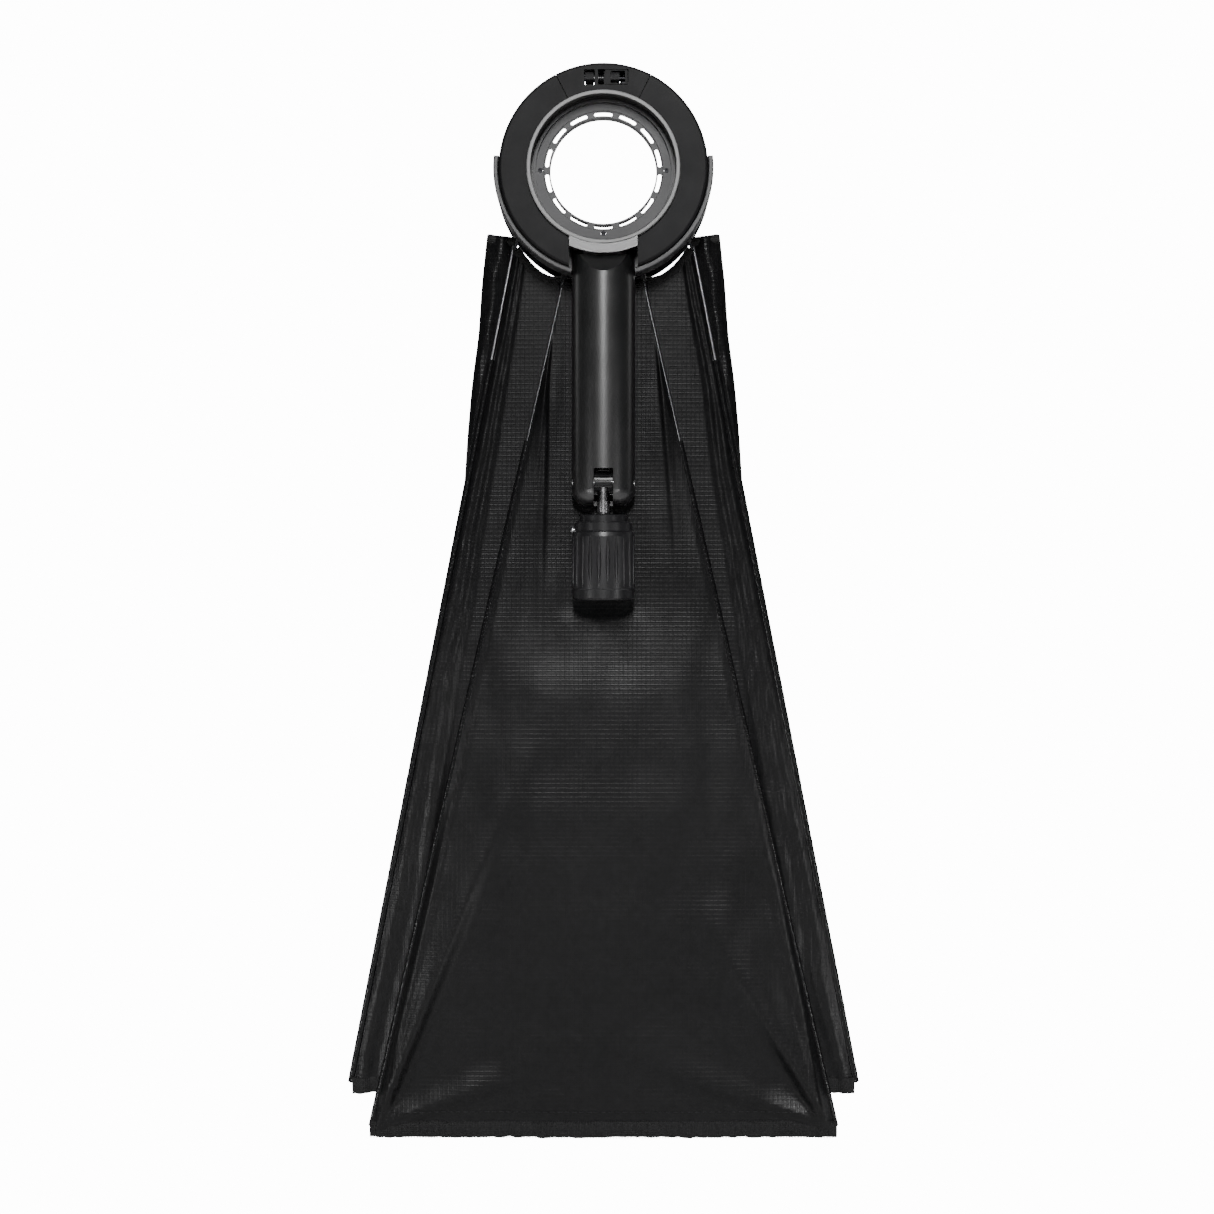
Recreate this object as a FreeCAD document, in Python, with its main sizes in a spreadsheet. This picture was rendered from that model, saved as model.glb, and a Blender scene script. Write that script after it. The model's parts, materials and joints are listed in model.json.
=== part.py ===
import FreeCAD, Part
import math
import os
import Sketcher
from FreeCAD import Placement, Rotation, Vector

# A collapsible octagonal snoot-style softbox on a quick-release ring with a hand grip.
# The ring's axis is Y. Its front, where the light goes in, faces -Y, and +Z is up.
# The origin is the centre of the light socket, on the seat that the light rests on.
# At rest the box is folded flat: the upper half of the hub hangs behind the lower
# half, and all eight ribs with their cloth panels point down behind the grip.

os.makedirs("parts", exist_ok=True)
doc = FreeCAD.newDocument("Snoot")

# ---------------------------------------------------------------- driving dimensions
DIMENSIONS = {
    "socket_radius": 39.75, "socket_depth": 12.0, "rim_radius": 42.0,
    "ring_radius": 57.4, "cradle_radius": 60.4, "wall": 2.5, "latch_wall": 1.6, "slack": 0.2,
    "cover_front": 9.0, "plate_front": 5.5, "plate_back": 8.5,
    "cradle_top": 6.6, "cradle_front": 8.0,
    "hole_radius": 29.3, "seat_radius": 37.3, "seat_outer": 38.6, "seat_height": 4.0,
    "vent_inner": 30.1, "vent_width": 2.1, "vent_length": 10.2, "vent_count": 14.0,
    "flange_screw_circle": 34.7, "flange_screw_radius": 1.3,
    "latch_half_angle": 27.2, "window_low": 45.2, "window_high": 53.6,
    "tongue_width": 4.6, "tongue_left": -9.9, "tongue_right": 4.2,
    "catch_shaft_height": 49.6, "catch_shaft_radius": 1.6,
    "grip_width": 35.0, "grip_front": 11.0, "grip_split": 6.5, "grip_back": 17.0,
    "grip_bottom": 185.0, "grip_wall": 2.6, "grip_round": 9.0,
    "slot_half_width": 5.3, "slot_top": 164.6,
    "tilt_height": 172.0, "tilt_depth": 3.0, "drum_radius": 7.4, "drum_width": 10.0,
    "drum_teeth": 22.0, "stem_offset": 3.4, "stem_start": 2.4, "stem_radius": 3.5,
    "collar_radius": 13.0, "collar_top": 189.9, "core_top": 193.6,
    "sleeve_bottom": 236.8, "sleeve_radius": 17.2, "sleeve_band_radius": 15.9,
    "core_radius": 14.4, "stud_bore_radius": 8.05, "stud_bore_depth": 34.0,
    "flute_count": 22.0,
    "hub_inner": 44.0, "hub_outer": 60.3, "hub_front": 10.7, "hub_back": 15.0,
    "hub_end": 7.0, "fold_depth": 29.9, "fold_pin_radius": 2.0,
    "rib_circle": 50.0, "rib_length": 500.0, "rib_radius": 1.2,
    "rib_splay": 12.8, "low_rib_lean": 11.0, "high_rib_lean": 9.8,
    "bottom_rib_depth": 20.0, "side_rib_depth": 24.8,
    "knuckle_radius": 2.9, "rib_pin_radius": 1.25,
    "cloth_thickness": 0.4, "cloth_gap": 1.8, "hem_low": 15.0, "hem_low_folded": 30.0,
    "hem_side": 22.0, "hem_scallop": 18.0, "hem_dip": 6.0,
}
sheet = doc.addObject("Spreadsheet::Sheet", "Dims")
for row, (alias, number) in enumerate(DIMENSIONS.items(), start=1):
    sheet.set(f"A{row}", alias)
    sheet.set(f"B{row}", str(number))
    sheet.setAlias(f"B{row}", alias)
doc.recompute()


def dim(alias):
    """A driving dimension's value, read from the sheet."""
    return float(sheet.get(alias))


def linked(expression):
    """An expression of plain aliases, with each alias tied to the sheet."""
    words = sorted(DIMENSIONS, key=len, reverse=True)
    marked = expression
    for number, word in enumerate(words):
        marked = marked.replace(word, f"<{number}>")
    for number, word in enumerate(words):
        marked = marked.replace(f"<{number}>", f"Dims.{word}")
    return marked


def value(expression):
    """The number that an expression of aliases stands for."""
    helper = doc.getObject("Reader") or doc.addObject("App::FeaturePython", "Reader")
    if "Number" not in helper.PropertiesList:
        helper.addProperty("App::PropertyFloat", "Number")
    helper.setExpression("Number", linked(expression))
    helper.recompute()
    return helper.Number


# ---------------------------------------------------------------- small builders
X_AXIS, Y_AXIS, Z_AXIS = Vector(1, 0, 0), Vector(0, 1, 0), Vector(0, 0, 1)


def turned(direction):
    """The rotation that carries +Z onto a direction."""
    return Rotation(Z_AXIS, direction)


def cylinder(name, radius, height, at, along=Y_AXIS):
    made = doc.addObject("Part::Cylinder", name)
    made.setExpression("Radius", linked(radius))
    made.setExpression("Height", linked(height))
    made.Placement = Placement(Vector(*at), turned(along))
    return made


def box(name, size, corner):
    made = doc.addObject("Part::Box", name)
    for side, expression in zip(("Length", "Width", "Height"), size):
        made.setExpression(side, linked(expression))
    made.Placement = Placement(Vector(*[value(c) for c in corner]), Rotation())
    return made


def wedge(name, points, front, back):
    """A prism along Y from a closed outline of (x, z) points."""
    wire = Part.makePolygon([Vector(x, front, z) for x, z in points + points[:1]])
    made = doc.addObject("Part::Feature", name)
    made.Shape = Part.Face(wire).extrude(Vector(0, back - front, 0))
    return made


def fuse(name, *pieces):
    made = doc.addObject("Part::MultiFuse", name)
    made.Shapes = list(pieces)
    return made


def cut(name, base, *tools):
    made = doc.addObject("Part::Cut", name)
    made.Base = base
    made.Tool = tools[0] if len(tools) == 1 else fuse(name + "_tools", *tools)
    return made


def common(name, base, tool):
    made = doc.addObject("Part::Common", name)
    made.Base, made.Tool = base, tool
    return made


def rounded(name, base, radius, chosen):
    """Fillets the edges of base for which chosen(edge) is true."""
    doc.recompute()
    edges = [i for i, edge in enumerate(base.Shape.Edges, start=1) if chosen(edge)]
    made = doc.addObject("Part::Fillet", name)
    made.Base = base
    made.Edges = [(i, radius, radius) for i in edges]
    return made


def revolved(name, corners):
    """A PartDesign body turned about Y from a closed outline of (radius, y) corners.
    Every corner is held by two dimensions tied to the sheet."""
    body = doc.addObject("PartDesign::Body", name)
    sketch = body.newObject("Sketcher::SketchObject", name + "_outline")
    plane = [o for o in body.Origin.OriginFeatures if o.Role == "XY_Plane"][0]
    sketch.AttachmentSupport = [(plane, "")]
    sketch.MapMode = "FlatFace"
    places = [Vector(value(r), value(y), 0) for r, y in corners]
    for i, place in enumerate(places):
        sketch.addGeometry(Part.LineSegment(place, places[(i + 1) % len(places)]))
    for i in range(len(places)):
        after = (i + 1) % len(places)
        sketch.addConstraint(Sketcher.Constraint("Coincident", i, 2, after, 1))
    for i, (radius, y) in enumerate(corners):
        for kind, expression, number in (
            ("DistanceX", radius, places[i].x),
            ("DistanceY", y, places[i].y),
        ):
            if abs(number) < 1e-9:
                held = Sketcher.Constraint("PointOnObject", i, 1, -1)
                sketch.addConstraint(held)
            elif number > 0:
                held = Sketcher.Constraint(kind, -1, 1, i, 1, number)
                index = sketch.addConstraint(held)
                sketch.setExpression(f"Constraints[{index}]", linked(expression))
            else:
                held = Sketcher.Constraint(kind, i, 1, -1, 1, -number)
                index = sketch.addConstraint(held)
                sketch.setExpression(f"Constraints[{index}]", linked(f"-({expression})"))
    turn = body.newObject("PartDesign::Revolution", name + "_turn")
    turn.Profile = sketch
    turn.ReferenceAxis = (sketch, ["V_Axis"])
    turn.Angle = 360.0
    body.Tip = turn
    return body


PARTS = []


def keep(made, label):
    """Names a finished sub-part, which is then written to parts/LABEL.step."""
    made.Label = label
    PARTS.append(made)
    return made


def part_of(name, shapes):
    """A sub-part whose separate solids are worked out by Part's own functions."""
    made = doc.addObject("Part::Feature", name)
    made.Shape = shapes[0] if len(shapes) == 1 else Part.makeCompound(shapes)
    return made


# ---------------------------------------------------------------- ring
def ring_body():
    plain = revolved("HousingTurned", [
        ("socket_radius", "-socket_depth"), ("rim_radius", "-socket_depth"),
        ("rim_radius", "plate_front"), ("ring_radius", "plate_front"),
        ("ring_radius", "plate_back"), ("socket_radius - 4", "plate_back"),
        ("socket_radius - 4", "plate_back - 2"), ("seat_outer", "plate_back - 2"),
        ("seat_outer", "0"), ("socket_radius", "0")])
    hook_slots = [box(f"HookSlot{side}", ("tongue_width + 0.8", "20", "5.9"),
                      (f"{left} - 0.4", "0", "catch_shaft_height - 2.7"))
                  for side, left in (("Left", "tongue_left"), ("Right", "tongue_right"))]
    bosses = []
    for number, (x, z) in enumerate(hub_screw_places(), start=1):
        bosses.append(cylinder(f"HubBoss{number}", "3", "hub_front - plate_back",
                               (x, dim("plate_back"), z)))
    holes = [cylinder(f"HubThread{number}", "1.25", "10", (x, 4.0, z))
             for number, (x, z) in enumerate(hub_screw_places(), start=1)]
    shell = cut("HousingShell", fuse("HousingBossed", plain, *bosses), *hook_slots, *holes)
    rim = rounded("HousingRounded", shell, 0.6, lambda e: (
        hasattr(e.Curve, "Radius") and abs(e.BoundBox.YMin + dim("socket_depth")) < 1e-6))
    keep(rim, "ring_housing")


def hub_screw_places():
    """Four screws hold the lower hub to the ring, clear of the ribs and the grip."""
    circle = (dim("hub_inner") + dim("hub_outer")) / 2
    angles = [math.radians(a) for a in (-78, -45, 45, 78)]
    return [(circle * math.sin(a), -circle * math.cos(a)) for a in angles]


def cover_ring(name, side_wall):
    """The dark front cover before it is divided into cover and latch plate."""
    return revolved(name, [
        ("rim_radius + slack", "-cover_front"), ("ring_radius", "-cover_front"),
        ("ring_radius", "plate_front - slack"), (f"ring_radius - {side_wall}", "plate_front - slack"),
        (f"ring_radius - {side_wall}", "-cover_front + wall"),
        ("rim_radius + slack", "-cover_front + wall")])


def latch_sector(name, grown):
    """A prism over the latch plate's sector, at the top of the ring."""
    reach = 80.0
    side = math.radians(dim("latch_half_angle")) + grown / dim("ring_radius")
    outline = [(0, 0), (reach * math.sin(side), reach * math.cos(side)),
               (-reach * math.sin(side), reach * math.cos(side))]
    return wedge(name, outline, -30, 30)


def rounded_cover(name, base):
    return rounded(name, base, 1.8, lambda e: (
        hasattr(e.Curve, "Radius") and abs(e.Curve.Radius - dim("ring_radius")) < 1e-6
        and abs(e.BoundBox.YMin + dim("cover_front")) < 1e-6
        and abs(e.BoundBox.YMax + dim("cover_front")) < 1e-6))


def covers():
    grip_gap = box("GripGap", ("grip_width + 3", "60", "80"),
                   ("-grip_width/2 - 1.5", "-30", "-80"))
    around = rounded_cover("CoverRounded", cover_ring("CoverTurned", "wall"))
    keep(cut("RingCover", around, latch_sector("CoverSector", dim("slack")), grip_gap),
         "ring_cover")
    top = rounded_cover("LatchRounded", cover_ring("LatchTurned", "latch_wall"))
    plate = common("LatchPlain", top, latch_sector("LatchSector", -dim("slack")))
    left = box("LeftWindow", ("tongue_width + 1.2", "20", "window_high - window_low"),
               ("tongue_left - 0.6", "-20", "window_low"))
    right = box("RightWindow", ("16.6", "20", "window_high - window_low"),
                ("-2.9", "-20", "window_low"))
    keep(cut("LatchCover", plate, left, right), "latch_cover")


def vent_flange():
    disc = revolved("FlangeTurned", [
        ("hole_radius", "seat_height"), ("32.7", "seat_height"),
        ("33", "seat_height - 0.6"), ("seat_radius - 0.1", "seat_height - 0.6"),
        ("seat_radius - 0.1", "seat_height + slack"),
        ("seat_outer - 0.2", "seat_height + slack"),
        ("seat_outer - 0.2", "plate_back - 2.1"),
        ("hole_radius + 0.7", "plate_back - 2.1"),
        ("hole_radius + 0.7", "seat_height + 11"), ("hole_radius", "seat_height + 11")])
    openings = []
    count = int(dim("vent_count"))
    middle = value("vent_inner + vent_width/2")
    for number in range(count):
        angle = 2 * math.pi * number / count
        slot = vent_slot(f"Vent{number + 1}", middle, angle)
        openings.append(slot)
    for number, (x, z) in enumerate(flange_screw_places(), start=1):
        openings.append(cylinder(f"FlangeScrewHole{number}", "flange_screw_radius + 0.1",
                                 "10", (x, 0, z)))
    keep(cut("VentFlange", disc, *openings), "vent_flange")
    keep(revolved("SocketSeat", [
        ("seat_radius", "0"), ("seat_outer - 0.05", "0"),
        ("seat_outer - 0.05", "seat_height"), ("seat_radius", "seat_height")]),
        "socket_seat")


def vent_slot(name, middle, angle):
    """One curved slot with round ends, on a circle round the ring's axis."""
    half_width = dim("vent_width") / 2
    half_turn = (dim("vent_length") / 2 - half_width) / middle

    def point(radius, turn):
        return Vector(radius * math.sin(angle + turn), 0, radius * math.cos(angle + turn))

    outer, inner = middle + half_width, middle - half_width
    right_end = point(middle, half_turn) + half_width * tangent(angle + half_turn)
    left_end = point(middle, -half_turn) - half_width * tangent(angle - half_turn)
    edges = [
        Part.Arc(point(outer, -half_turn), point(outer, 0), point(outer, half_turn)),
        Part.Arc(point(outer, half_turn), right_end, point(inner, half_turn)),
        Part.Arc(point(inner, half_turn), point(inner, 0), point(inner, -half_turn)),
        Part.Arc(point(inner, -half_turn), left_end, point(outer, -half_turn))]
    face = Part.Face(Part.Wire([edge.toShape() for edge in edges]))
    made = doc.addObject("Part::Feature", name)
    made.Shape = face.extrude(Vector(0, 20, 0))
    return made


def tangent(angle):
    return Vector(math.cos(angle), 0, -math.sin(angle))


def flange_screw_places():
    circle = dim("flange_screw_circle")
    return [(circle, 0), (-circle, 0), (0, -circle)]


def coil(radius, wire, pitch, length, at, along):
    """A coil spring of round wire, from a point and along a direction."""
    path = Part.makeHelix(pitch, length, radius)
    ring = Part.Wire(Part.makeCircle(wire, Vector(radius, 0, 0), Y_AXIS))
    spring = Part.Wire(path.Edges).makePipeShell([ring], True, True)
    spring.Placement = Placement(at, turned(along))
    return spring


def screw(at, along, head_radius, head_height, shank_radius, shank_length):
    """A socket-head screw: a head with a hex socket, and its shank."""
    head = Part.makeCylinder(head_radius, head_height, at, along)
    shank = Part.makeCylinder(shank_radius, shank_length, at, along)
    corner = [Vector(head_radius * 0.5 * math.cos(math.pi * k / 3),
                     head_radius * 0.5 * math.sin(math.pi * k / 3), 0) for k in range(7)]
    socket = Part.Face(Part.makePolygon(corner)).extrude(Vector(0, 0, head_height * 0.6))
    socket.Placement = Placement(at, turned(along))
    return head.fuse(shank).removeSplitter().cut(socket)


def ring_screws():
    flange = [screw(Vector(x, dim("seat_height") - 0.55, z), Y_AXIS, 1.3, 1.6, 0.9, 3.0)
              for x, z in flange_screw_places()]
    keep(part_of("FlangeScrews", flange), "flange_screws")
    hub = [screw(Vector(x, dim("hub_back") - 0.2, z), -Y_AXIS, 2.2, 1.8, 1.25, 5.6)
           for x, z in hub_screw_places()]
    keep(part_of("HubScrews", hub), "hub_screws")


# ---------------------------------------------------------------- latch
def latch():
    button = box("ButtonPlate", ("12.1", "2.4", "window_high - window_low - 0.6"),
                 ("1.1", "-cover_front + 0.1", "window_low + 0.3"))
    skirt = box("ButtonSkirt", ("13.1", "1.2", "window_high - window_low + 0.7"),
                ("0.3", "-cover_front + wall + 0.05", "window_low - 0.4"))
    gap = box("ButtonGap", ("tongue_width + 3.2", "10", "6.6"),
              ("tongue_right - 0.2", "-cover_front - 1", "window_low + 1.0"))
    keep(cut("ReleaseButton", fuse("ButtonWhole", button, skirt), gap),
         "release_button")
    height = dim("catch_shaft_height")
    shaft = Part.makeCylinder(dim("catch_shaft_radius"), 24, Vector(-12, -2, height), X_AXIS)
    bore = Part.makeCylinder(dim("catch_shaft_radius") + 0.06, 24, Vector(-12, -2, height),
                             X_AXIS)
    tongues = []
    for left in (dim("tongue_left"), dim("tongue_right")):
        tongues.append(catch_tongue(left, height))
    bridge = Part.makeCylinder(2.3, dim("tongue_right") - dim("tongue_left"),
                               Vector(dim("tongue_left"), -2, height), X_AXIS)
    lever = bridge.fuse(tongues).removeSplitter().cut(bore)
    keep(part_of("CatchLever", [lever]), "catch_lever")
    spring = coil(2.75, 0.25, 1.1, 6.6, Vector(-3.9, -2, height), X_AXIS)
    keep(part_of("CatchSpring", [spring]), "catch_spring")
    supports = [Part.makeBox(1.8, 7.6, 6, Vector(x, -2.1, height - 3)) for x in (-12, 10.2)]
    keep(part_of("CatchShaft", [shaft.fuse(supports).removeSplitter()]), "catch_shaft")


def catch_tongue(left, height):
    """A thumb that shows in its window, with a hook that reaches back to the hub."""
    outline = [(-8.3, 1.2), (-7.8, 2.4), (-6.1, 2.9), (-2.0, 2.8), (10.6, 1.6),
               (11.4, 0.4), (11.4, -2.4), (10.2, -2.4), (9.4, -0.6), (-2.0, -2.5),
               (-6.6, -2.3), (-7.8, -1.4)]
    points = [Vector(left, y, height + z) for y, z in outline + outline[:1]]
    return Part.Face(Part.makePolygon(points)).extrude(Vector(dim("tongue_width"), 0, 0))


# ---------------------------------------------------------------- grip
def grip_outline(name, shrink):
    """The grip's section, extruded upward: round in front, flat with round corners behind."""
    half = dim("grip_width") / 2 - shrink
    middle = dim("grip_split")
    back = dim("grip_back") - shrink
    corner = 7.0
    front_point = Vector(0, -dim("grip_front") + shrink, 0)
    diagonal = corner * (1 - math.sqrt(0.5))
    edges = [
        Part.Arc(Vector(-half, middle, 0), front_point, Vector(half, middle, 0)),
        Part.LineSegment(Vector(half, middle, 0), Vector(half, back - corner, 0)),
        Part.Arc(Vector(half, back - corner, 0),
                 Vector(half - diagonal, back - diagonal, 0), Vector(half - corner, back, 0)),
        Part.LineSegment(Vector(half - corner, back, 0), Vector(corner - half, back, 0)),
        Part.Arc(Vector(corner - half, back, 0),
                 Vector(diagonal - half, back - diagonal, 0), Vector(-half, back - corner, 0)),
        Part.LineSegment(Vector(-half, back - corner, 0), Vector(-half, middle, 0))]
    made = doc.addObject("Part::Feature", name)
    bottom = -dim("grip_bottom") + shrink
    face = Part.Face(Part.Wire([edge.toShape() for edge in edges]))
    solid = face.extrude(Vector(0, 0, -40 - bottom))
    low = [e for e in solid.Edges if e.BoundBox.ZMax < 1e-6]
    solid = solid.makeFillet(dim("grip_round") - shrink, low)
    solid.translate(Vector(0, 0, bottom))
    made.Shape = solid
    return made


def grip():
    outer = grip_outline("GripOuter", 0)
    inner = grip_outline("GripInner", dim("grip_wall"))
    solid_top = box("GripCavityTop", ("60", "60", "100"), ("-30", "-30", "-64"))
    cavity = cut("GripCavity", inner, solid_top)
    collar = common("GripCollar",
                    cylinder("CollarRing", "rim_radius + 5", "cover_front + 3 - slack",
                             (0, -dim("socket_depth"), 0)),
                    box("CollarBlock", ("grip_width + 2.4", "30", "60"),
                        ("-grip_width/2 - 1.2", "-20", "-90")))
    whole = fuse("GripWhole", outer, collar)
    ring_space = cylinder("GripRingSpace", "rim_radius + 0.05", "60", (0, -30, 0))
    plate_space = cylinder("GripPlateSpace", "cradle_radius + slack", "60",
                           (0, dim("plate_front") - dim("slack"), 0))
    front_half = box("GripFrontHalf", ("80", "60", "260"), ("-40", "grip_split", "-250"))
    slot = box("StemSlot", ("slot_half_width*2", "60", "60"),
               ("-slot_half_width", "-60 + grip_split", "-slot_top - 60"))
    tilt_bore = cylinder("TiltBore", "2.06", "60", (-30, dim("tilt_depth"),
                                                  -dim("tilt_height")), X_AXIS)
    scoop = thumb_scoop()
    front = cut("GripFront", whole, cavity, ring_space, plate_space, front_half, slot,
                tilt_bore, scoop)
    keep(front, "grip_front")
    rear_half = box("GripRearHalf", ("80", "60", "260"),
                    ("-40", "grip_split - 60 + 0.05", "-250"))
    rear_top = cylinder("GripRearTop", "cradle_radius + slack", "60", (0, -10, 0))
    low_slot = box("StemSlotRear", ("slot_half_width*2", "4", "30"),
                   ("-slot_half_width", "grip_split - 0.5", "-grip_bottom - 20"))
    holes = []
    for number, z in enumerate(grip_screw_heights(), start=1):
        holes.append(cylinder(f"GripScrewHead{number}", "2.45", "8",
                              (0, dim("grip_back") - 1.9, z)))
        holes.append(cylinder(f"GripScrewHole{number}", "1.35", "8",
                              (0, dim("grip_back") - 4, z)))
    shell = cut("GripRearShell", grip_outline("GripOuterRear", 0), cavity_copy(), rear_half,
                rear_top, low_slot, *holes)
    shelf = box("SpringShelf", ("16", "grip_back - 2", "3"), ("-8", "0", "-138"))
    keep(fuse("GripRear", shell, shelf), "grip_rear")
    screws = [screw(Vector(0, dim("grip_back") - 0.3, z), -Y_AXIS, 2.3, 1.6, 1.3, 2.0)
              for z in grip_screw_heights()]
    keep(part_of("GripScrews", screws), "grip_screws")


def cavity_copy():
    return cut("GripCavityRear", grip_outline("GripInnerRear", dim("grip_wall")),
               box("GripCavityRearTop", ("60", "60", "100"), ("-30", "-30", "-64")))


def grip_screw_heights():
    return (-72.0, -118.0, -152.0)


def thumb_scoop():
    """A sloping recess between the ring's rim and the grip, deepest at the rim."""
    top, low = -dim("rim_radius") - 5.0, -57.0
    deep, front = -dim("grip_front") + 6.0, -dim("grip_front") - 0.2
    wire = Part.makePolygon([Vector(-30, front - 10, top), Vector(-30, deep, top),
                             Vector(-30, front, low), Vector(-30, front - 10, low),
                             Vector(-30, front - 10, top)])
    made = doc.addObject("Part::Feature", "ThumbScoop")
    slab = Part.Face(wire).extrude(Vector(60, 0, 0))
    made.Shape = slab.cut(Part.makeCylinder(dim("rim_radius") + 5, 60, Vector(0, -30, 0),
                                            Y_AXIS))
    return made


def cradle():
    """The grip's yoke: a thin wall round the lower half of the ring, and on to the grip."""
    outer = cylinder("CradleOuter", "cradle_radius", "hub_front + cradle_front - slack",
                     (0, -dim("cradle_front"), 0))
    inner = cylinder("CradleInner", "ring_radius + slack", "60", (0, -20, 0))
    above = box("CradleAbove", ("200", "100", "100"), ("-100", "-50", "cradle_top"))
    grip_space = box("CradleGrip", ("grip_width + 0.1", "100", "100"),
                     ("-grip_width/2 - 0.05", "-50", "-100"))
    wall = cut("CradleWall", outer, inner, above, grip_space)
    keep(rounded("Cradle", wall, 0.7, lambda e: (
        hasattr(e.Curve, "Radius") and abs(e.BoundBox.YMin + dim("cradle_front")) < 1e-6
        and abs(e.BoundBox.YMax + dim("cradle_front")) < 1e-6)), "cradle")


# ---------------------------------------------------------------- tilting stand receiver
def receiver():
    height, depth = -dim("tilt_height"), dim("tilt_depth")
    stem_y = depth - dim("stem_offset")
    pin = Part.makeCylinder(2.0, dim("grip_width") - 2 * 1.0,
                            Vector(-dim("grip_width") / 2 + 1.0, depth, height), X_AXIS)
    keep(part_of("TiltPin", [pin]), "tilt_pin")
    keep(part_of("RatchetDrum", [ratchet_drum(depth, height)]), "ratchet_drum")
    tip = height + dim("drum_radius") + 0.2
    pawl = Part.makeBox(7, 5, 12, Vector(-3.5, depth - 2.5, tip))
    low = [e for e in pawl.Edges if e.BoundBox.ZMax < tip + 1e-6 and e.BoundBox.XLength > 6]
    keep(part_of("DetentPawl", [pawl.makeChamfer(1.8, low)]), "detent_pawl")
    foot = tip + 12.4
    spring = coil(2.1, 0.35, 1.6, -138.4 - foot, Vector(0, depth, foot), Z_AXIS)
    keep(part_of("DetentSpring", [spring]), "detent_spring")
    stem = Part.makeCylinder(dim("stem_radius"), value("collar_top - tilt_height - stem_start"),
                             Vector(0, stem_y, height - dim("stem_start")), -Z_AXIS)
    keep(part_of("Stem", [stem.makeChamfer(0.5, [stem.Edges[0]])]), "stem")
    keep(lathe("ReceiverCollar", stem_y, [
        (0, -dim("collar_top")), (dim("collar_radius") - 0.6, -dim("collar_top")),
        (dim("collar_radius"), -dim("collar_top") - 0.6),
        (dim("collar_radius"), -dim("core_top")), (0, -dim("core_top"))]),
        "receiver_collar")
    bore, core = dim("stud_bore_radius"), dim("core_radius")
    bottom = -dim("sleeve_bottom") + 0.6
    roof = bottom + dim("stud_bore_depth")
    keep(lathe("ReceiverCore", stem_y, [
        (0, -dim("core_top")), (core, -dim("core_top")), (core, bottom), (bore, bottom),
        (bore, roof), (0, roof)]), "receiver_core")
    keep(part_of("LockSleeve", [lock_sleeve(stem_y)]), "lock_sleeve")
    pin = Part.makeCylinder(1.5, 2.9, Vector(-15.2, stem_y, -198.4), -X_AXIS)
    tip = [e for e in pin.Edges if e.BoundBox.XMax < -17.9]
    keep(part_of("SleevePin", [pin.makeFillet(0.9, tip)]), "sleeve_pin")


def lathe(name, y, outline):
    """A solid turned about the receiver's vertical axis from (radius, z) corners."""
    points = [Vector(r, 0, z) for r, z in outline + outline[:1]]
    solid = Part.Face(Part.makePolygon(points)).revolve(Vector(), Z_AXIS, 360)
    solid.translate(Vector(0, y, 0))
    return part_of(name, [solid])


def ratchet_drum(depth, height):
    """A toothed drum on the tilt pin, with a flat that carries the stem."""
    width, radius = dim("drum_width"), dim("drum_radius")
    teeth = int(dim("drum_teeth"))
    points = []
    for k in range(teeth):
        start = 2 * math.pi * k / teeth
        for share, reach in ((0.0, radius), (0.4, radius), (0.55, radius - 1.0),
                             (0.85, radius - 1.0)):
            angle = start + share * 2 * math.pi / teeth
            points.append(Vector(-width / 2, depth + reach * math.cos(angle),
                                 height + reach * math.sin(angle)))
    drum = Part.Face(Part.makePolygon(points + points[:1])).extrude(Vector(width, 0, 0))
    bore = Part.makeCylinder(2.06, width + 2, Vector(-width / 2 - 1, depth, height), X_AXIS)
    seat = Part.makeCylinder(dim("stem_radius"), 30,
                             Vector(0, depth - dim("stem_offset"), height - dim("stem_start")), -Z_AXIS)
    return drum.cut([bore, seat])


def lock_sleeve(stem_y):
    """The fluted sleeve: lens-shaped flutes that fade out at both ends."""
    radius, band = dim("sleeve_radius"), dim("sleeve_band_radius")
    inner, top, bottom = dim("core_radius") + 0.06, -dim("core_top") - 0.4, -dim("sleeve_bottom")
    outline = [(inner, top), (band - 0.5, top), (band, top - 0.5), (band, top - 4.9),
               (radius - 0.4, top - 5.7), (radius, top - 8.0), (radius, bottom + 6.2),
               (radius - 0.3, bottom + 5.6), (radius - 0.3, bottom + 0.9),
               (radius - 1.2, bottom), (inner, bottom)]
    points = [Vector(r, 0, z) for r, z in outline + outline[:1]]
    sleeve = Part.Face(Part.makePolygon(points)).revolve(Vector(), Z_AXIS, 360)
    count = int(dim("flute_count"))
    high, low = top - 6.6, bottom + 6.6
    middle, half = (high + low) / 2, (high - low) / 2
    rise = 1.2
    sweep = (half * half + rise * rise) / (2 * rise)
    flute = Part.Face(Part.Wire([
        Part.Arc(Vector(radius + 0.05, 0, high), Vector(radius - rise, 0, middle),
                 Vector(radius + 0.05, 0, low)).toShape(),
        Part.LineSegment(Vector(radius + 0.05, 0, low), Vector(radius + 0.05, 0, high)).toShape(),
    ])).revolve(Vector(radius + 0.05, 0, 0), Z_AXIS, 360)
    flutes = []
    for k in range(count):
        turn = 360.0 * (k + 0.5) / count
        tool = flute.copy()
        tool.rotate(Vector(), Z_AXIS, turn - 90)
        flutes.append(tool)
    sleeve = sleeve.cut(flutes)
    pin_bore = Part.makeCylinder(1.5, 5, Vector(-14.6, 0, -198.4), -X_AXIS)
    sleeve = sleeve.cut(pin_bore)
    sleeve.translate(Vector(0, stem_y, 0))
    return sleeve


# ---------------------------------------------------------------- fold geometry
def rib_base(angle, depth):
    """A rib's pivot, at an angle from straight down towards +X."""
    circle = dim("rib_circle")
    return Vector(circle * math.sin(angle), depth, -circle * math.cos(angle))


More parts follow.
